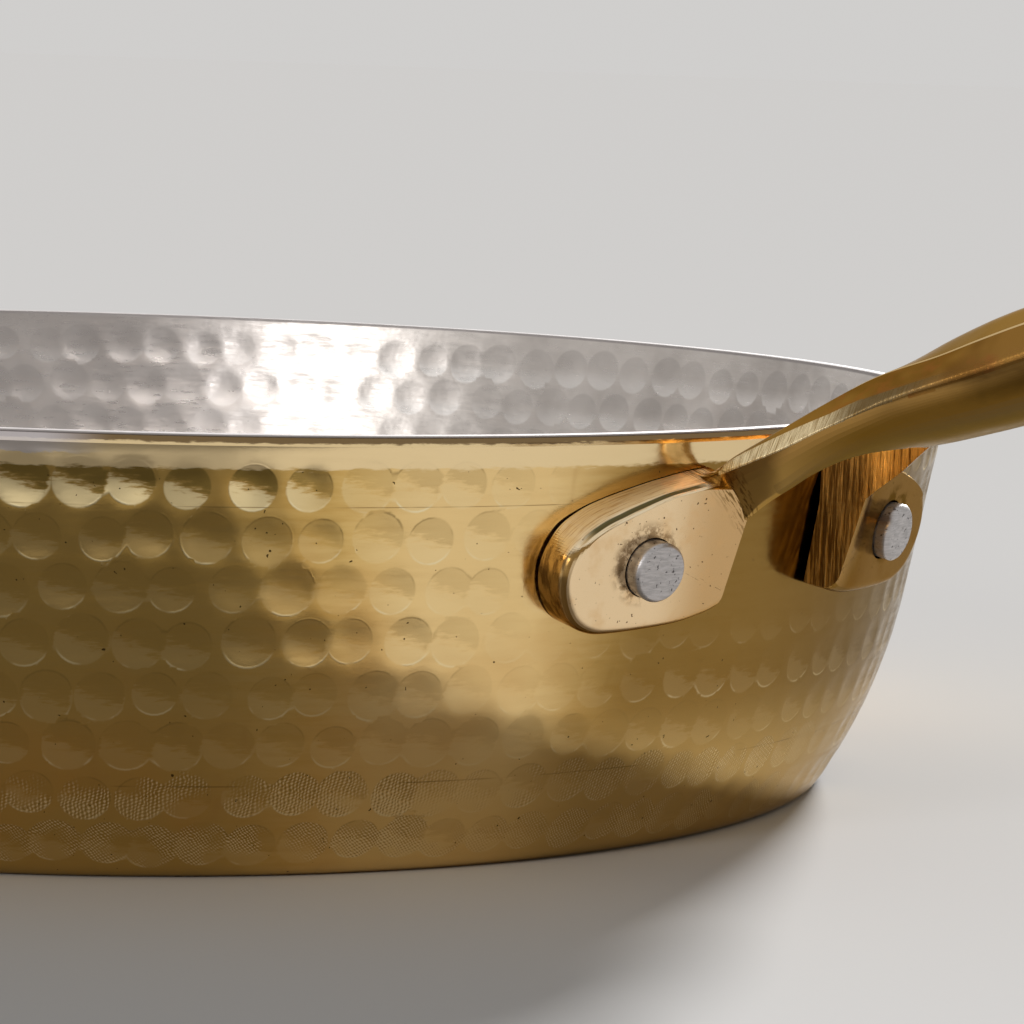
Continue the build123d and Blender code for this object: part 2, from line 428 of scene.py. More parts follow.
# Bare metal with amber patches, smears and streaks, and the floor's reflection painted on it: a pale painted
# lit band near the handle, painted shade past it, olive painted shade away from it (lighter in the lower
# courses) and painted light low down by the handle
olive = t.ramp(from_handle, 0.45, 0.70, 0.0, 0.88)
pale = t.times(t.ramp(from_handle, 0.56, 0.42), t.ramp(bearing, -0.18, -0.32))
before_back = t.ramp(bearing, 1.5, 0.8)
painted_lift_low_down = t.times(t.ramp(level, 0.026, 0.010), t.ramp(from_handle, 0.62, 0.45))
tone = t.layers(
    (0.86, 0.58, 0.20),
    (t.ramp(smear, 0.35, 0.7), (0.76, 0.48, 0.14)),
    # Olive painted shade away from the handle, made lighter in the lower courses
    (olive, (0.42, 0.262, 0.068)),
    (t.times(olive, t.ramp(level, 0.034, 0.018, 0.0, 0.28)), (0.72, 0.47, 0.15)),
    # Painted lit band near the handle
    (t.times(pale, 0.75), (1.0, 0.73, 0.35)),
    (t.ramp(patch, 0.52, 0.74, 0.0, 0.6), (0.60, 0.31, 0.07)),
    (t.ramp(streak, 0.60, 0.8, 0.0, 0.35), (0.50, 0.28, 0.08)),
    # Painted shade from the lit band on past the handle
    (t.times(t.ramp(bearing, -0.32, -0.14, 0.0, 0.92), before_back), (0.26, 0.145, 0.032)),
    (t.times(t.ramp(bearing, -0.05, 0.45, 0.0, 0.90), before_back), (0.11, 0.065, 0.018)),
    # Painted light low down near the handle
    (t.times(painted_lift_low_down, 0.55), (0.80, 0.55, 0.20)),
)

# Each mark is painted as a small lens mirroring the floor: painted shade above, painted highlight below, a thin
# painted highlight at its lower edge and a thin line of painted shade at its upper edge
in_mark = t.times(t.ramp(share, 1.03, 0.93), t.math("MINIMUM", t.times(force, 1.6), 1.0), clamp=True)
tilt = t.waver(t.plus(t.times(up, 0.9), t.times(side, 0.35)), ragged, 1.3)
far_round = t.ramp(from_handle, 0.50, 0.62)
top_course = t.ramp(course, 1.0, 0.0, kind="LINEAR")
shade = t.plus(0.14, t.times(pale, 0.10), t.times(top_course, far_round, 0.70))
edge = t.minus(1.0, t.math("DIVIDE", t.away_from(share, 0.95), 0.06), clamp=True)
edge = t.times(edge, force, t.ramp(t.noise(here, 240.0), 0.42, 0.60))
tone = t.layers(
    tone,
    (t.times(in_mark, shade, t.ramp(tilt, -0.10, 0.25)), (0.24, 0.16, 0.04)),
    (t.times(in_mark, shade, t.ramp(tilt, 0.06, -0.28)), (1.0, 0.82, 0.46)),
    (t.times(edge, t.ramp(up, -0.25, -0.75), clamp=True), (1.0, 0.86, 0.52)),
    (t.times(edge, t.ramp(up, 0.10, 0.60), 0.6, clamp=True), (0.20, 0.13, 0.04)),
)

# The two lowest courses were struck with a cross-cut face. Its cuts are in radians for a metre
CUTS = 12500.0
LOW_COURSE_RADIUS = 0.118
DARK_LINE = (0.22, 0.13, 0.04)
round_wall = t.times(bearing, LOW_COURSE_RADIUS)
slant = t.times(t.ramp(course, 6.2, 6.8), level)
wobble = t.times(t.noise(here, 420.0, 3.0, 0.6), 16.0)
warp_lines = t.math("SINE", t.plus(t.times(t.plus(round_wall, slant), CUTS), wobble))
weft_lines = t.math("SINE", t.plus(t.times(t.minus(t.times(round_wall, 0.5), level), CUTS), wobble))
weave = t.plus(t.times(warp_lines, 0.62), t.times(weft_lines, 0.38))
woven = t.times(t.ramp(course, 5.3, 5.9), in_mark, t.ramp(t.noise(here, 150.0), 0.38, 0.55))
tone = t.layers(
    tone,
    (t.times(woven, t.ramp(weave, 0.1, 0.8, 0.0, 0.95)), (1.0, 0.82, 0.48)),
    (t.times(woven, t.ramp(weave, 0.0, -0.9, 0.0, 0.6)), DARK_LINE),
)

# Scribed lines, pits, the pale line under the rim, a brown painted shade over the rim's outer bevel and the
# smear of tin over it
UPPER_SCRIBED_LINE = 0.0513
LOWER_SCRIBED_LINE = 0.0135
line = t.math(
    "MAXIMUM",
    t.ramp(t.away_from(level, UPPER_SCRIBED_LINE), 0.00012, 0.0),
    t.ramp(t.away_from(level, LOWER_SCRIBED_LINE), 0.00016, 0.0),
)
line = t.times(line, t.ramp(t.noise(here, 60.0, 3.0, 0.6), 0.45, 0.6, 0.0, 0.7))
pits = t.ramp(t.noise(here, 1350.0, 1.0), 0.765, 0.79)
under_rim = t.ramp(t.waver(level, ragged, 0.0016), 0.0561, 0.0566)
high_side = t.plus(0.5, t.times(t.math("COSINE", t.minus(bearing, HIGH_BEARING)), 0.5))
lip_level = t.minus(level, t.times(high_side, WALL_HEIGHT * RIM_RISE))
# Painted shade over the rim's outer bevel and lip
brown = t.ramp(t.waver(lip_level, ragged, 0.0009), 0.0588, 0.0591)
tin_edge = t.waver(level, t.noise(here, 160.0, 4.0, 0.7, stretch=(1.0, 1.0, 2.0)), 0.0022)
tin_smear = t.times(t.ramp(tin_edge, 0.0579, 0.0582), t.ramp(from_handle, 0.76, 0.84, 0.0, 0.8))
tone = t.layers(
    tone,
    (line, DARK_LINE),
    (pits, (0.10, 0.06, 0.02)),
    (t.times(under_rim, 0.9), (1.0, 0.78, 0.44)),
    (t.times(brown, 0.9), (0.17, 0.10, 0.04)),
    (tin_smear, (0.74, 0.70, 0.72)),
)
shader.inputs["Specular Tint"].default_value = (0.88, 0.79, 0.66, 1.0)
fine_grain = t.noise(here, 900.0, 4.0, 0.7, stretch=(1.0, 1.0, 3.0))
t.dress(shader, Base_Color=tone, Roughness=t.ramp(smear, 0.3, 0.75, 0.11, 0.24), Normal=t.relief(
    (edge, 0.000016), (t.times(weave, woven), 0.000012), (t.noise(here, 120.0), 0.00010), (fine_grain, 0.000007)
))

bake_nodes(pan, marks, Metal=hammered_brass)
smooth(pan, 28)
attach(pan, "root")
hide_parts("pan_body")


# ---------------------------------------------------------------- tin lining
# The inside, the rim and the rim's bevel are wiped with tin, which is silver-grey and
# satin, and shows the hammer marks softly from behind.

inner_tin = cut_level(side_points(SHEET + TIN, 70), SHEET + TIN, WALL_HEIGHT)
corner = round_corner(Vector((0.08, SHEET + TIN)), inner_tin[0], inner_tin[5], 0.0042, 6)
inner_tin = corner + [p for p in inner_tin if corner[-1].y + 0.0004 < p.y < WALL_HEIGHT - 0.0006]
inner_tin.append(inner_tin[-1] + Vector((math.tan(FLARE), 1.0)) * (WALL_HEIGHT - 0.0004 - inner_tin[-1].y))
rim_tin = below_rim(inner_tin[-1].x, (0.1, 0.1), (0.4, 0.0))
rim_tin += below_rim(
    RIM_RADIUS - RIM_BEVEL, (-0.3, 0.0), (0.0, 0.05), (0.1, 0.2), (0.04, 0.31), (-0.3, 0.3)
)
section = flat_run(SHEET + TIN, 0.0, FLOOR_RING) + inner_tin + rim_tin + inside[::-4]
lining = revolve("tin_lining_skin", section + flat_run(SHEET, FLOOR_RING, 0.0))
lining.data.flip_normals()

wiped_tin, t, shader, here = principled("wiped_tin")
across, beside, level = t.split(here)
bearing = t.math("ARCTAN2", beside, across)
share, force, up = (t.read("blow_" + name) for name in ("share", "force", "up"))
cloudy = t.noise(here, 40.0, 4.0, 0.6)
wipes = t.noise(here, 220.0, 3.0, 0.6, stretch=(1.0, 1.0, 6.0))
in_mark = t.times(t.ramp(share, 1.04, 0.90), force, clamp=True)
# Painted shade over a stretch of the inner wall, above the pan's floor
painted_shade_aside = t.times(
    t.ramp(bearing, 2.00, 2.22, 0.0, 0.55), t.ramp(bearing, 3.0, 2.65), t.ramp(level, 0.006, 0.024)
)
on_rim = t.ramp(level, 0.0594, 0.0597)
silver = t.layers(
    (0.68, 0.63, 0.59),
    (t.ramp(cloudy, 0.35, 0.7), (0.46, 0.42, 0.39)),
    # The marks painted as small lenses: painted shade above, painted highlight below
    (t.times(in_mark, t.ramp(up, -0.7, 0.6, 0.0, 0.42)), (0.34, 0.31, 0.29)),
    (t.times(in_mark, t.ramp(up, 0.1, -0.8, 0.0, 0.6)), (0.92, 0.90, 0.88)),
    (painted_shade_aside, (0.34, 0.31, 0.30)),
    (on_rim, (0.40, 0.37, 0.36)),
)
dullness = t.plus(t.ramp(wipes, 0.3, 0.75, 0.26, 0.42), t.times(on_rim, 0.25))
relief = t.relief((t.noise(here, 150.0, 3.0), 0.00012), (wipes, 0.00002))
t.dress(shader, Base_Color=silver, Roughness=dullness, Normal=relief)

bake_nodes(lining, marks, Metal=wiped_tin, From_inside=1.0, Depth=0.0002)
smooth(lining, 28)
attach(lining, "root")
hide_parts("tin_lining")


# ---------------------------------------------------------------- handle
# One brass casting: two lugs, forked arms and a long grip that ends in a hanging eye. The
# notch is sawn and filed out between the arms, the bevels are ground along them, and the
# lugs' backs are fitted to the wall.

# Lengths are in millimetres here: distances out from the wall at the rivets, half widths and
# rises above the rivets
MM = 0.001
SEAT_RADIUS = 128.543
SEAT_HEIGHT = 44.5
RIVET_TURN = math.radians(11.4)
ROLL_OF_CASTING = math.tan(math.radians(2.4))
EYE_OUT = 190.0
TIP_RADIUS = 14.0

# Each edge of the casting as (out, half width, rise)
crest_line = [
    (0, 3, 11.2), (5, 3, 12.4), (9, 3, 14.6), (15, 3, 18.6), (21, 3, 22.5), (27, 3, 26.4), (33.5, 3, 30.4),
    (43.5, 2.8, 34.9), (62, 2.8, 40.9), (90, 2.9, 47.6), (125, 4, 52.8), (160, 6.6, 55.6), (206, 8.8, 56.7),
]
shoulder_line = [
    (0, 16.4, 10.2), (3, 16.6, 10.4), (5.7, 17.0, 11.2), (8.8, 17.0, 13.3), (15, 15.4, 17.3),
    (21.2, 13.1, 21.5), (26.8, 10.4, 25.1), (35.2, 8.4, 28.4), (41.1, 7.8, 30.9), (47.7, 7.3, 33.5),
    (62, 7.1, 38.4), (90, 7.3, 45.6), (125, 8.8, 51.4), (160, 11.2, 54.8), (206, 12.4, 56.1),
]
bevel_line = [
    (0, 16.7, 9.8), (3, 16.9, 10.0), (5.7, 17.4, 10.9), (9.3, 17.75, 13.1), (14.1, 17.3, 15.6),
    (18.9, 16.5, 18.0), (23.1, 15.6, 20.0), (27, 14.6, 22.0), (32.2, 13.2, 24.1), (43.5, 10.7, 28.2),
    (62, 9.7, 34.9), (90, 9.7, 42.5), (125, 11.0, 48.9), (160, 13.0, 53.0), (206, 13.8, 54.7),
]
side_line = [
    (0, 16.9, 9.2), (3, 17.1, 9.4), (6, 17.7, 10.5), (11.2, 18.4, 12.4), (17.7, 18.0, 15.2), (22.3, 17.0, 17.7),
    (26.1, 16.0, 19.6), (31.4, 14.2, 22.2), (43.5, 11.1, 26.9), (62, 10.0, 33.5), (90, 10.0, 41.1),
    (125, 11.3, 47.8), (160, 13.2, 52.1), (206, 14.0, 53.9),
]
belly_line = [
    (0, 13.0, 0.0), (4.2, 13.1, 0.0), (5.6, 13.2, 1.0), (6.6, 13.3, 2.2), (7.8, 13.5, 3.9), (9.4, 13.8, 5.4),
    (11.4, 14.1, 7.0), (15.3, 13.8, 9.6), (18.3, 12.8, 11.8), (22, 11.4, 14.1), (26.5, 10.0, 16.4),
    (33.5, 9.0, 18.9), (43.5, 8.1, 21.8), (62, 7.4, 27.7), (90, 7.4, 35.9), (125, 8.6, 43.4), (160, 10.6, 48.0),
    (206, 11.4, 50.2),
]
keel_line = [
    (0, 0, -1.0), (4.2, 0, -1.0), (7.8, 0, 2.0), (11.4, 0, 4.6), (15.3, 0, 7.8), (18.3, 0, 10.2), (22, 0, 12.9),
    (26.5, 0, 14.9), (33.5, 0, 16.7), (43.5, 0, 19.5), (62, 0, 25.1), (90, 0, 33.4), (125, 0, 41.3),
    (160, 0, 46.7), (206, 0, 49.6),
]


def clamp(value, low=0.0, high=1.0):
    return max(low, min(high, value))


def along(line, out):
    """Half width and rise of an edge at a distance out, on a smooth curve through its points."""
    step = max(i for i in range(len(line) - 1) if line[i][0] <= out or i == 0)
    before, start, stop, after = (line[clamp(step + k, 0, len(line) - 1)] for k in (-1, 0, 1, 2))
    span = stop[0] - start[0]
    s = (out - start[0]) / span
    result = []
    for axis in (1, 2):
        steepest = 3 * abs(stop[axis] - start[axis]) / span
        leaving, arriving = (
            clamp((high[axis] - low[axis]) / (high[0] - low[0]), -steepest, steepest)
            for low, high in ((before, stop), (start, after))
        )
        result.append(
            (2 * s**3 - 3 * s**2 + 1) * start[axis]
            + (s**3 - 2 * s**2 + s) * span * leaving
            + (3 * s**2 - 2 * s**3) * stop[axis]
            + (s**3 - s**2) * span * arriving
        )
    return Vector(result)


def softened(points, reaches, steps):
    """A polyline with each inner corner replaced by a short curve that starts at its reach."""
    shares = [step / steps for step in range(1, steps + 1)]
    curve = [points[0]]
    for before, corner, after, reach in zip(points, points[1:], points[2:], reaches):
        first, last = (
            corner + (end - corner).normalized() * min(reach, 0.45 * (end - corner).length)
            for end in (before, after)
        )
        straight = curve[-1]
        curve += [straight.lerp(first, s) for s in shares]
        curve += [first.lerp(corner, s).lerp(corner.lerp(last, s), s) for s in shares]
    straight = curve[-1]
    return curve + [straight.lerp(points[-1], s) for s in shares]


def closed_mesh(name, rings):
    """Mesh of equal closed rings of points joined one to the next, capped at both ends."""
    count = len(rings[0])
    faces = []
    for first in range(0, (len(rings) - 1) * count, count):
        for spot in range(count):
            onward = (spot + 1) % count
            faces.append((first + spot, first + onward, first + count + onward, first + count + spot))
    faces.append(tuple(range(count))[::-1])
    faces.append(tuple((len(rings) - 1) * count + spot for spot in range(count)))
    mesh = bpy.data.meshes.new(name)
    mesh.from_pydata([point for ring in rings for point in ring], [], faces)
    shape = bmesh.new()
    shape.from_mesh(mesh)
    bmesh.ops.recalc_face_normals(shape, faces=shape.faces)
    shape.to_mesh(mesh)
    shape.free()
    return in_scene(name, mesh)


def cut_or_join(piece, tools, operation):
    """Exact boolean of a piece with all the tools at once, which are used up."""
    bench = bpy.data.collections.new("bench")
    bpy.context.scene.collection.children.link(bench)
    for tool in tools:
        bench.objects.link(tool)
    modifier = piece.modifiers.new("made", "BOOLEAN")
    modifier.operation = operation
    modifier.solver = "EXACT"
    modifier.operand_type = "COLLECTION"
    modifier.collection = bench
    keep_result(piece, modifier)
    for tool in tools:
        bpy.data.objects.remove(tool)
    bpy.data.collections.remove(bench)


def rolled(y, z):
    """Height of a point of the casting, which was riveted on a little turned: the far side is higher."""
    return z + ROLL_OF_CASTING * (abs(y) + y)


# Arms and grip
ring_outs = [0.5 * step for step in range(0, 121)]
ring_outs += [60.0 + 1.3 * step for step in range(1, 100)]
ring_outs += [EYE_OUT + TIP_RADIUS * math.sin(math.radians(angle)) for angle in range(6, 88, 3)]
rings = []
for out in ring_outs:
    narrow = 1.0
    if out > EYE_OUT:
        narrow = math.sqrt(max(0.0, 1 - ((out - EYE_OUT) / TIP_RADIUS) ** 2))
    keel, belly, side, bevel, shoulder, crest = (
        along(line, out) for line in (keel_line, belly_line, side_line, bevel_line, shoulder_line, crest_line)
    )
    soft_belly = min(2.6, 0.2 + max(0.0, out - 16.0) * 0.16)
    soft_side = min(1.6, 0.3 + max(0.0, out - 24.0) * 0.07)
    half = softened(
        [
            Vector((0.0, keel.y)), Vector((belly.x * 0.55, keel.y + (belly.y - keel.y) * 0.22)), belly, side,
            bevel, shoulder, crest, Vector((0.0, crest.y + 0.25)),
        ],
        [2.0, soft_belly, soft_side, soft_side, 0.4, 2.0], 5,
    )
    ring = []
    for mirror_side in (-1, 1):
        spots = half if mirror_side < 0 else half[-2:0:-1]
        for spot in spots:
            y = mirror_side * spot.x * narrow
            ring.append((MM * (SEAT_RADIUS + out), MM * y, MM * rolled(y, SEAT_HEIGHT + spot.y)))
    rings.append(ring)
handle = closed_mesh("handle_casting", rings)

# Lugs: the outline is drawn on the seat as (towards the fork, up the wall), and the edge is
# ground to a bevel along the top and rounded round the end and along the bottom
LUG_THICKNESS = 5.5
LUG_ROUND = 2.0
lug_corners = [
    (20.0, 11.9), (20.0, -6.2), (15.0, -6.6), (11.5, -8.1), (5.9, -9.35), (-4.1, -10.1), (-8.4, -9.7),
    (-11.6, -7.8), (-13.6, -4.3), (-13.8, -0.4), (-12.0, 3.6), (-8.8, 6.0), (-4.8, 7.65), (0.8, 9.25),
    (5.0, 10.15), (10.0, 10.95),
]


def smooth_loop(corners, steps):
    """Closed curve through points, straight across the two corners that the notch cuts away."""
    loop = []
    for index in range(len(corners)):
        a, b, c, d = (Vector(corners[(index + k) % len(corners)]) for k in (-1, 0, 1, 2))
        for s in (step / steps for step in range(steps)):
            if index in (0, len(corners) - 1, 1):
                loop.append(b.lerp(c, s))
            else:
                bend = (2 * a - 5 * b + 4 * c - d) * s * s + (3 * b - a - 3 * c + d) * s**3
                loop.append(0.5 * (2 * b + (c - a) * s + bend))
    return loop


lug_outline = smooth_loop(lug_corners, 12)
# Section of the top edge as (inset, stand-off): a slope back to the wall, a filed groove, a round
slope_of_top = [Vector(spot) for spot in (
    (0.0, 0.0), (0.16, 0.3), (0.34, 0.8), (0.58, 1.5), (0.82, 2.2), (1.04, 2.9), (1.24, 3.5), (1.42, 4.0),
    (1.6, 4.18), (1.7, 4.45), (1.76, 4.8), (1.86, 5.02), (2.0, 5.22), (2.16, 5.38), (2.35, 5.5),
)]

# Rows of the lug's rings: up through the wall's room, up the edge, then inwards over the face
ROWS_BEHIND = 2
ROWS_OF_EDGE = 14
ROWS_OF_FACE = 10
ROUND_FROM = 0.4
FACE_MIDDLE = Vector((1.0, 0.8))
FACE_HALF_LENGTH = 15.0
FACE_HALF_HEIGHT = 11.0
FACE_CROWN = 0.22
lug_rings = []
for row in range(ROWS_BEHIND + ROWS_OF_EDGE + ROWS_OF_FACE + 1):
    up_edge = (row - ROWS_BEHIND) / ROWS_OF_EDGE
    over_face = (row - ROWS_BEHIND - ROWS_OF_EDGE) / ROWS_OF_FACE
    ring = []
    for index, spot in enumerate(lug_outline):
        onward = lug_outline[(index + 1) % len(lug_outline)] - lug_outline[index - 1]
        inward = Vector((onward.y, -onward.x)).normalized()
        topness = clamp((-inward.y - 0.35) / 0.3)
        lean = 0.30 + 0.30 * clamp((2.5 - spot.x) / 8.0)
        # Past the notch's line the edge stays square, as it's cut away there
        inward *= clamp((17.0 - spot.x) / 2.0)
        if up_edge <= 0:
            place, rise = spot, row - 2.0
        elif over_face <= 0:
            quarter = math.radians(90 * max(0.0, (up_edge - ROUND_FROM) / (1 - ROUND_FROM)))
            round_inset = LUG_ROUND * (1 - math.cos(quarter))
            round_rise = (LUG_THICKNESS - LUG_ROUND) * min(1.0, up_edge / ROUND_FROM)
            round_rise += LUG_ROUND * math.sin(quarter)
            run = up_edge * (len(slope_of_top) - 1)
            step = min(len(slope_of_top) - 2, int(run))
            slope_spot = slope_of_top[step].lerp(slope_of_top[step + 1], run - step)
            place = spot + inward * (topness * slope_spot.x * lean + (1 - topness) * round_inset)
            rise = topness * slope_spot.y + (1 - topness) * round_rise
            if over_face == 0:
                rise = LUG_THICKNESS
        else:
            rim_spot = spot + inward * (slope_of_top[-1].x * lean * topness + LUG_ROUND * (1 - topness))
            place = rim_spot.lerp(FACE_MIDDLE, 0.97 * over_face)
            from_middle = place - FACE_MIDDLE
            from_middle = (from_middle.x / FACE_HALF_LENGTH) ** 2 + (from_middle.y / FACE_HALF_HEIGHT) ** 2
            rise = LUG_THICKNESS + FACE_CROWN * max(0.0, 1 - from_middle) ** 2
        # Towards the fork the face swells out into the arm
        swell = clamp((place.x - 6.8) / 7.0)
        if rise > LUG_THICKNESS - 2.1:
            rise += swell * swell * (3 - 2 * swell) * max(0.0, 1.15 + 0.14 * place.y)
        ring.append((place, rise))
    lug_rings.append(ring)


def wall_frame(turn):
    """Middle of a lug's seat at a bearing, and the direction off the wall there."""
    seat = Vector((SEAT_RADIUS * math.cos(turn), SEAT_RADIUS * math.sin(turn), SEAT_HEIGHT))
    return seat, Vector((math.cos(turn) * math.cos(FLARE), math.sin(turn) * math.cos(FLARE), -math.sin(FLARE)))


# The nearer lug's frame. The further lug is its mirror image, lifted by the casting's roll
SEAT_TO_MIDDLE = 25.4
seat, off_wall = wall_frame(-RIVET_TURN)
toward_fork = Vector((math.sin(RIVET_TURN), math.cos(RIVET_TURN), 0.0))
up_wall = off_wall.cross(toward_fork)
lugs = []
for mirror_side in (1, -1):
    rings = []
    for ring in lug_rings:
        points = []
        for place, rise in ring:
            lift = 2 * ROLL_OF_CASTING * (SEAT_TO_MIDDLE - place.x) if mirror_side < 0 else 0.0
            point = seat + place.x * toward_fork + (place.y + lift) * up_wall + rise * off_wall
            points.append((MM * point.x, MM * point.y * mirror_side, MM * point.z))
        rings.append(points)
    lugs.append(closed_mesh("lug", rings))
cut_or_join(handle, lugs, "UNION")

# The wall, with a hairline behind the lugs that opens to a wedge by the fork and the lugs' ends
BEHIND_LUGS = 0.06
WEDGE_BY_FORK = 0.75
WEDGE_BY_END = 0.3
WEDGE_LEVELS = ((20.0, 1.0), (49.5, 1.0), (53.5, 0.0), (70.0, 0.0))
INSIDE_WALL = 60.0
rings = []
for step in range(181):
    turn = -27.0 + 0.3 * step
    by_fork = clamp((10.4 - abs(turn)) / 4.5)
    by_end = clamp((abs(turn) - 13.0) / 4.0)
    wedge = WEDGE_BY_FORK * by_fork**2 + WEDGE_BY_END * by_end**2
    corners = []
    for height, share in WEDGE_LEVELS:
        gap = (BEHIND_LUGS + wedge * share) / math.cos(FLARE)
        corners.append((RIM_RADIUS / MM - (WALL_HEIGHT / MM - height) * math.tan(FLARE) + gap, height))
    corners += [(INSIDE_WALL, WEDGE_LEVELS[-1][0]), (INSIDE_WALL, WEDGE_LEVELS[0][0])]
    angle = math.radians(turn)
    rings.append([(MM * r * math.cos(angle), MM * r * math.sin(angle), MM * height) for r, height in corners])
rooms = [closed_mesh("wall_room", rings)]

# The notch, with its flanks, haunches and small round apex
NOTCH_HALF_WIDTH = 13.2
NOTCH_DEPTH = 29.0
APEX_BLUNT = 1.6
APEX_LEFT = 0.9
flank_start, flank_end = Vector((-12.0, NOTCH_HALF_WIDTH)), Vector((12.5, NOTCH_HALF_WIDTH))
haunch, apex = Vector((22.0, 9.4)), Vector((NOTCH_DEPTH, 0.0))
through = 2 * haunch - 0.5 * flank_end - 0.5 * apex
half_notch = [flank_start, flank_end]
for s in (step / 33 for step in range(1, 33)):
    half_notch.append(flank_end.lerp(through, s).lerp(through.lerp(apex, s), s))
half_notch = [p for p in half_notch if p.x < NOTCH_DEPTH - APEX_BLUNT]
last = half_notch[-1]
for angle in (math.radians(90 * step / 8) for step in range(1, 9)):
    run = (NOTCH_DEPTH - APEX_LEFT - last.x) * math.sin(angle)
    half_notch.append(Vector((last.x + run, last.y * math.cos(angle))))
loop = half_notch + [Vector((p.x, -p.y)) for p in half_notch[-2::-1]]
rings = [[(MM * (SEAT_RADIUS + p.x), MM * p.y, MM * height) for p in loop] for height in (20.0, 90.0)]
rooms.append(closed_mesh("notch", rings))


def lathed(name, profile, origin, axis, segments):
    """Closed mesh of a profile (radius, run along the axis) turned about an axis."""
    across = axis.orthogonal().normalized()
    beside = axis.cross(across)
    rings = []
    for radius, run in profile:
        ring = []
        for angle in (2 * math.pi * segment / segments for segment in range(segments)):
            point = origin + run * axis + radius * (math.cos(angle) * across + math.sin(angle) * beside)
            ring.append(tuple(MM * value for value in point))
        rings.append(ring)
    return closed_mesh(name, rings)


RIVET_LOW_IN_LUG = 0.6
rivet_room = [(4.12, -6.0), (4.12, LUG_THICKNESS - 0.15), (4.35, LUG_THICKNESS + 0.35), (4.5, 12.0)]
lug_seats, rivet_seats = {}, {}
for name, turn in (("rivet_left", -RIVET_TURN), ("rivet_right", RIVET_TURN)):
    spot, axis = wall_frame(turn)
    lug_seats[name] = (spot.copy(), axis)
    spot.z += (2 * ROLL_OF_CASTING * spot.y if turn > 0 else 0.0) - RIVET_LOW_IN_LUG
    rivet_seats[name] = (spot, axis)
    rooms.append(lathed("rivet_room", rivet_room, spot, axis, 72))

eye = Vector((SEAT_RADIUS + EYE_OUT, 0.0, SEAT_HEIGHT + 53.2))
eye_room = [(7.0, -6.0), (5.0, -3.6), (5.0, 2.7), (6.6, 4.6), (6.6, 8.0)]
rooms.append(lathed("eye_room", eye_room, eye, Vector((0.0, 0.0, 1.0)), 72))
cut_or_join(handle, rooms, "DIFFERENCE")

shape = bmesh.new()
shape.from_mesh(handle.data)
bmesh.ops.remove_doubles(shape, verts=shape.verts, dist=0.000004)
bmesh.ops.dissolve_degenerate(shape, edges=shape.edges, dist=0.000002)
bmesh.ops.recalc_face_normals(shape, faces=shape.faces)
shape.to_mesh(handle.data)
shape.free()

# Which ground or filed face each facet belongs to, for the metal's tone with its painted light and shade, and
# for its marks
ON_FACE = 0.22
ON_FLANK = 3.5
zones = {name: [] for name in ("ground_bevel", "narrow_face", "notch_wall", "flank", "shaded_underside", "ridge")}
for polygon in handle.data.polygons:
    centre = polygon.center / MM
    out = clamp(centre.x - SEAT_RADIUS, 0.0, 205.0)
    narrow = 1.0
    if out > EYE_OUT:
        narrow = math.sqrt(max(0.0, 1 - ((out - EYE_OUT) / TIP_RADIUS) ** 2))
    half_width = abs(centre.y)
    level = centre.z - ROLL_OF_CASTING * (half_width + centre.y) - SEAT_HEIGHT
    here = Vector((half_width, level))
    lug_seat, axis = lug_seats["rivet_right" if centre.y > 0 else "rivet_left"]
    stands_off = (centre - lug_seat).dot(axis)
    on_lug = stands_off < LUG_THICKNESS + 0.3 or (stands_off < 8.0 and polygon.normal.dot(axis) > 0.75)
    faces_middle = polygon.normal.y * centre.y < -0.25 * half_width
    in_notch = out < NOTCH_DEPTH + 0.5 and faces_middle and half_width < NOTCH_HALF_WIDTH + 0.3
    on_arm = not on_lug and not in_notch
    away, share_of = {}, {}
    for zone, first, second in (
        ("ground_bevel", bevel_line, side_line),
        ("flank", side_line, belly_line),
        ("narrow_face", shoulder_line, bevel_line),
    ):
        a, b = along(first, out), along(second, out)
        a.x, b.x = a.x * narrow, b.x * narrow
        share = clamp((here - a).dot(b - a) / max(1e-6, (b - a).length_squared))
        away[zone], share_of[zone] = (here - a.lerp(b, share)).length, share
    # Past the fork the bevel takes the darker tone of the narrow face beside it
    if out < 34:
        from_narrow = away["narrow_face"]
    else:
        from_narrow = min(away["narrow_face"], away["ground_bevel"])
    by_ridge = (here - along(shoulder_line, out)).length < 0.24
    below = clamp((along(belly_line, out).y + 1.0 - level) / 1.6)
    for zone, value in (
        ("narrow_face", float(on_arm and from_narrow < (ON_FACE if out < 30 else 0.6))),
        ("ground_bevel", float(on_arm and away["ground_bevel"] < ON_FACE)),
        ("notch_wall", float(in_notch)),
        ("ridge", float(24.0 < out < EYE_OUT and by_ridge)),
        ("flank", share_of["flank"] if away["flank"] < ON_FLANK and not on_lug else 0.0),
        ("shaded_underside", below if out > 14 and not on_lug else 0.0),
    ):
        zones[zone].append(value)
for name, values in zones.items():
    handle.data.attributes.new(name, "FLOAT", "FACE").data.foreach_set("value", values)

cast_brass, t, shader, here = principled("cast_brass")
zone = {name: t.read(name) for name in zones}
off_notch_wall = t.minus(1.0, zone["notch_wall"])

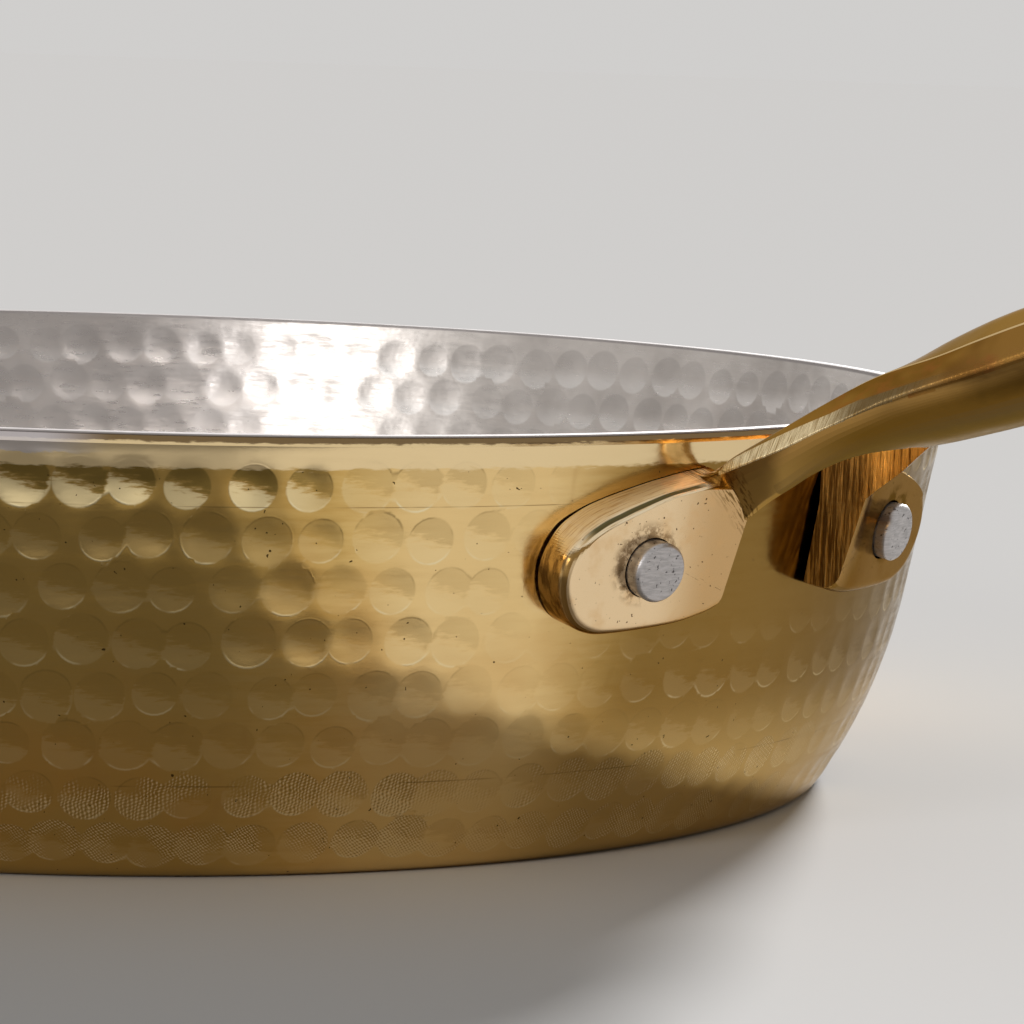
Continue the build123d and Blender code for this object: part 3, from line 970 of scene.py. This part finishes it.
# Place on the near lug's seat, or on the far one's as mirrored: towards the fork, up the wall, off it
out, aside, level = t.split(t.vector("SCALE", here, 1 / MM))
from_middle = t.math("ABSOLUTE", aside)
roll = t.times(t.plus(aside, from_middle), ROLL_OF_CASTING)
unrolled = t.join(out, t.times(from_middle, -1.0), t.minus(level, roll))
from_seat = t.vector("SUBTRACT", unrolled, tuple(seat))
lug_u, lug_v, lug_out = (
    t.vector("DOT_PRODUCT", from_seat, tuple(way)) for way in (toward_fork, up_wall, off_wall)
)
faces_out, faces_aside, faces_up = t.split(t.node("ShaderNodeNewGeometry").outputs["True Normal"])
mirrored = t.times(faces_aside, t.minus(1.0, t.times(t.math("GREATER_THAN", aside, 0.0), 2.0)))
faces_off = t.vector("DOT_PRODUCT", t.join(faces_out, mirrored, faces_up), tuple(off_wall))
by_lug = t.ramp(lug_out, 9.6, 9.2)
behind_face = t.ramp(lug_out, LUG_THICKNESS + 0.1, LUG_THICKNESS - 0.1)
lug_face = t.times(by_lug, t.ramp(faces_off, 0.74, 0.84))
lug_edge = t.times(behind_face, t.ramp(faces_off, 0.55, 0.40), t.ramp(lug_u, 9.0, 8.0))
top_bevel = t.times(behind_face, t.ramp(faces_up, 0.42, 0.60), t.ramp(lug_u, 12.5, 11.5))

# Arms and grip: brushed, amber on the narrow face that is partly painted shade, bright where the bevel was
# ground and partly a painted highlight, and painted shade on the flanks, lighter near the root
brushed = t.noise(here, 300.0, 4.0, 0.6, stretch=(1.0, 8.0, 8.0))
patch = t.noise(here, 60.0, 3.0, 0.55)
narrow_tone = t.layers(
    (0.34, 0.175, 0.042),
    (t.ramp(patch, 0.42, 0.60), (0.21, 0.098, 0.022)),
    (t.ramp(t.noise(here, 170.0, 4.0, 0.6), 0.50, 0.66, 0.0, 0.6), (0.34, 0.125, 0.035)),
)
flank_tone = t.blend(t.ramp(out, 156.0, 134.0), (0.155, 0.08, 0.012), (0.50, 0.31, 0.09))
strokes = t.noise(here, 10500.0, 2.0, 0.6, stretch=(1.0, 0.04, 0.04))
# The ground bevel: bright strokes, partly a painted highlight, with painted shade towards the grip
bevel_tone = t.layers(
    (1.0, 0.82, 0.50),
    (t.ramp(strokes, 0.40, 0.68), (0.40, 0.255, 0.10)),
    (t.ramp(out, 149.0, 157.0, 0.0, 0.92), (0.15, 0.09, 0.03)),
)

# The notch's walls: sawn, orange with a painted highlight high up, and painted shade low down with painted
# glints in it
sawn = t.noise(here, 2100.0, 4.0, 0.65, stretch=(1.0, 1.0, 0.06))
shade_edge_patch = t.noise(here, 260.0, 3.0, 0.6, stretch=(1.0, 1.0, 0.5))
painted_shade_low_in_notch = t.ramp(t.plus(out, t.times(shade_edge_patch, 8.0)), 146.0, 138.0)
notch_tone = t.layers(
    (1.0, 0.55, 0.13),
    (t.ramp(sawn, 0.50, 0.68), (0.25, 0.105, 0.018)),
    (t.times(painted_shade_low_in_notch, 0.85), t.blend(t.ramp(sawn, 0.36, 0.54), (0.72, 0.45, 0.14), (0.12, 0.066, 0.018))),
)

# Lugs: a pale face, filed edges, long lines along the top bevel with a dark stripe in its groove
STRIPE_OUT = 4.45
face_tone = t.layers(
    (1.0, 0.755, 0.455),
    (t.ramp(lug_u, 1.0, 11.0, 0.0, 0.8), (0.62, 0.37, 0.14)),
    (t.ramp(t.noise(here, 230.0, 3.0, 0.55), 0.50, 0.72, 0.0, 0.42), (0.80, 0.48, 0.20)),
    (t.ramp(t.noise(here, 1700.0, 1.0), 0.72, 0.77), (0.12, 0.07, 0.03)),
)
filings = t.noise(here, 900.0, 3.0, 0.6, stretch=(1.0, 1.0, 0.25))
edge_tone = t.blend(t.ramp(filings, 0.40, 0.62), (0.56, 0.36, 0.14), (0.22, 0.13, 0.05))
long_lines = t.noise(t.join(t.times(lug_out, 3.2), t.times(lug_u, 0.16)), 1.0, 3.0, 0.65)
top_tone = t.blend(t.ramp(long_lines, 0.48, 0.66), (1.0, 0.84, 0.58), (0.74, 0.52, 0.26))
stripe = t.ramp(t.away_from(lug_out, STRIPE_OUT), 0.52, 0.36)
stripe = t.times(top_bevel, stripe, t.ramp(lug_u, -12.0, -9.0), t.ramp(lug_u, 9.5, 7.0))
from_rivet = t.vector("LENGTH", t.join(t.plus(lug_u, 0.7), lug_v))
# A blotchy darker ring on the face round the rivet
darker_round_rivet = t.times(t.ramp(from_rivet, 6.4, 4.4), t.ramp(t.noise(here, 500.0, 4.0, 0.7), 0.44, 0.58))

# File strokes along the crease between lug and arm, which runs down from a corner of the lug's top
CREASE_CORNER = (9.2, 12.4)
CREASE_SLOPE = (0.753, 0.66)
from_u, from_v = t.minus(lug_u, CREASE_CORNER[0]), t.minus(lug_v, CREASE_CORNER[1])
across_crease = t.plus(t.times(from_u, CREASE_SLOPE[0]), t.times(from_v, CREASE_SLOPE[1]))
along_crease = t.minus(t.times(from_u, CREASE_SLOPE[1]), t.times(from_v, CREASE_SLOPE[0]))
stroke_noise = t.noise(t.join(t.times(across_crease, 4.2), t.times(along_crease, 0.5)), 1.0, 3.0, 0.6)
by_crease = t.times(
    t.ramp(t.math("ABSOLUTE", across_crease), 3.0, 0.2), t.ramp(along_crease, -0.8, 0.4),
    t.ramp(along_crease, 14.0, 9.0), by_lug, off_notch_wall,
)

# The faces' tones over the bare metal: the ridge's bright line is a painted highlight and the dark tone under
# the arms is painted shade
tone = t.layers(
    (0.42, 0.24, 0.07),
    (t.ramp(patch, 0.40, 0.66), (0.30, 0.17, 0.05)),
    (zone["narrow_face"], narrow_tone),
    (t.ramp(zone["flank"], 0.0, 0.6, 0.0, 0.95), flank_tone),
    (t.times(zone["ridge"], 0.8), (0.95, 0.72, 0.40)),
    (zone["shaded_underside"], (0.15, 0.095, 0.035)),
    (t.times(zone["ground_bevel"], t.ramp(out, 170.0, 160.0)), bevel_tone),
    (zone["notch_wall"], notch_tone),
    (lug_face, face_tone),
    (lug_edge, edge_tone),
    (top_bevel, top_tone),
    (stripe, (0.15, 0.135, 0.065)),
    (t.times(darker_round_rivet, lug_face, 0.8), (0.26, 0.15, 0.06)),
    (t.times(by_crease, t.ramp(stroke_noise, 0.50, 0.57)), (0.20, 0.11, 0.03)),
)
# The far side of the casting is darkened: painted shade
painted_shade_far_side = t.times(t.ramp(aside, 8.0, 18.0), off_notch_wall)
tone = t.blend(painted_shade_far_side, tone, t.vector("MULTIPLY", tone, (0.27, 0.205, 0.14)))
shader.inputs["Specular Tint"].default_value = (0.80, 0.66, 0.46, 1.0)
dullness = t.plus(
    t.ramp(brushed, 0.3, 0.75, 0.15, 0.27),
    t.times(zone["ground_bevel"], 0.10),
    t.times(t.math("MAXIMUM", zone["notch_wall"], top_bevel), 0.22),
)
cuts = t.plus(t.times(strokes, zone["ground_bevel"]), t.times(sawn, zone["notch_wall"], 3.0))
relief = t.relief((cuts, 0.00006), (t.noise(here, 110.0), 0.0002), (brushed, 0.00001))
t.dress(shader, Base_Color=tone, Roughness=dullness, Normal=relief)

handle.data.materials.clear()
handle.data.materials.append(cast_brass)
for polygon in handle.data.polygons:
    polygon.material_index = 0
smooth(handle, 24)
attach(handle, "root")
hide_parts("handle")


# ---------------------------------------------------------------- rivets
# Plain aluminium rivets: a low wide head inside the pan, and a tail cut off square and
# left standing proud of the lug, its end scratched and pitted and its edge bevelled.

rivet_metal, t, shader, here = principled("rivet_aluminium")
pits = t.noise(here, 1300.0, 3.0, 0.6)
scratches = t.noise(here, 500.0, 4.0, 0.7, stretch=(1.0, 1.0, 6.0))
grey = t.layers(
    (0.56, 0.53, 0.52),
    (t.ramp(scratches, 0.35, 0.65), (0.44, 0.42, 0.41)),
    (t.ramp(pits, 0.61, 0.67), (0.10, 0.09, 0.09)),
)
relief = t.relief((t.plus(pits, scratches), 0.00004))
t.dress(shader, Base_Color=grey, Roughness=t.ramp(scratches, 0.3, 0.7, 0.30, 0.46), Normal=relief)

# Profile as (radius, run): the head back from its face, the shank that swells, the tail's end
HEAD_FACE = -3.2
TAIL_END = 0.25 + LUG_THICKNESS + 2.5
head = [(0.02, -2.2), (3.0, -2.2), (5.6, -2.1), (6.5, -1.7), (7.1, -1.1), (7.45, -0.5), (7.5, 0.0), (4.0, 0.0)]
shank = [(4.0, 2.0), (4.02, 5.6), (4.08, 6.6), (4.12, 7.2)]
cut_end = [(4.12, -0.62), (4.05, -0.45), (3.75, -0.12), (3.6, -0.03), (3.3, -0.01), (1.6, 0.0), (0.02, 0.0)]
profile = (
    [(radius, HEAD_FACE + run) for radius, run in head]
    + shank
    + [(radius, TAIL_END + run) for radius, run in cut_end]
)
for name, (spot, axis) in rivet_seats.items():
    rivet = lathed(name + "_tail", profile, spot, axis, 96)
    for vertex in rivet.data.vertices:
        # The cut end is a little uneven
        uneven = 0.012 * math.sin(vertex.co.y * 2100 + vertex.co.z * 900) + 0.01 * math.sin(vertex.co.z * 3100)
        if (vertex.co / MM - spot).dot(axis) > TAIL_END - 0.2:
            vertex.co += axis * MM * (uneven - 0.02)
    rivet.data.materials.append(rivet_metal)
    smooth(rivet, 32)
    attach(rivet, "root")
    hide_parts(name)


# ---------------------------------------------------------------- floor, light, camera
# A wide pale floor, a dim sky, a low sun from the far side, a small softbox at the front,
# and the camera as it was solved from the photo's ellipses and rivets.

FLOOR_HALF = 30.0
ground = bpy.data.meshes.new("floor")
corners = [(x * FLOOR_HALF, y * FLOOR_HALF, 0) for x, y in ((-1, -1), (1, -1), (1, 1), (-1, 1))]
ground.from_pydata(corners, [], [(0, 1, 2, 3)])
floor = in_scene("floor", ground)
floor_paint, t, shader, here = principled("pale_floor", metallic=0.0)
shader.inputs["Base Color"].default_value = (0.62, 0.61, 0.60, 1.0)
shader.inputs["Roughness"].default_value = 1.0
shader.inputs["Specular IOR Level"].default_value = 0.0
ground.materials.append(floor_paint)

# The sky is brighter where it's seen or mirrored than as a light
SKY_LIGHT = 0.28
SKY_SEEN = 0.63
world = bpy.data.worlds.new("studio")
world.use_nodes = True
sky = Tree(world.node_tree)
rays = sky.node("ShaderNodeLightPath").outputs
seen = sky.math(
    "MAXIMUM", rays["Is Camera Ray"], sky.math("MAXIMUM", rays["Is Glossy Ray"], rays["Is Transmission Ray"])
)
background = world.node_tree.nodes["Background"]
background.inputs[0].default_value = (1.0, 0.984, 0.966, 1.0)
sky.put(background.inputs[1], sky.ramp(seen, 0.0, 1.0, SKY_LIGHT, SKY_SEEN, kind="LINEAR"))
bpy.context.scene.world = world

LAMPS_AIM_AT = Vector((0.0, 0.0, 0.03))


def lamp(name, kind, azimuth, elevation, reach, energy, size):
    """A lamp that shines on the pan from a bearing round +z and a height, in degrees."""
    light = bpy.data.lights.new(name, kind)
    light.energy = energy
    if kind == "SUN":
        light.angle = math.radians(size)
    else:
        light.shape = "DISK"
        light.size = size
    a, e = math.radians(azimuth), math.radians(elevation)
    back = Vector((math.cos(a) * math.cos(e), math.sin(a) * math.cos(e), math.sin(e)))
    holder = in_scene(name, light)
    holder.rotation_mode = "QUATERNION"
    holder.location, holder.rotation_quaternion = LAMPS_AIM_AT + back * reach, back.to_track_quat("Z", "Y")
    holder.visible_camera = False


lamp("window_light", "SUN", 112.0, 21.0, 2.0, 6.4, 11.0)
lamp("front_softbox", "AREA", -80.0, 20.0, 1.2, 2.3, 0.30)

camera_data = bpy.data.cameras.new("photo_view")
camera_data.sensor_width = 36.0
camera_data.lens = 155.93
camera_data.clip_start = 0.01
camera_data.clip_end = 30.0
camera = in_scene("photo_view", camera_data)
heading = math.radians(49.653)
pitch = math.radians(5.895)
roll = math.radians(1.963)
forward = Vector((-math.cos(heading) * math.cos(pitch), math.sin(heading) * math.cos(pitch), -math.sin(pitch)))
level_right = Vector((forward.y, -forward.x, 0.0)).normalized()
level_up = level_right.cross(forward)
right = math.cos(roll) * level_right + math.sin(roll) * level_up
up = -math.sin(roll) * level_right + math.cos(roll) * level_up
pose = Matrix((right, up, -forward)).transposed().to_4x4()
pose.translation = Vector((0.49676, -0.48537, 0.11026))
camera.matrix_world = pose
bpy.context.scene.camera = camera

bpy.context.scene.view_settings.view_transform = "Standard"

bpy.context.view_layer.update()
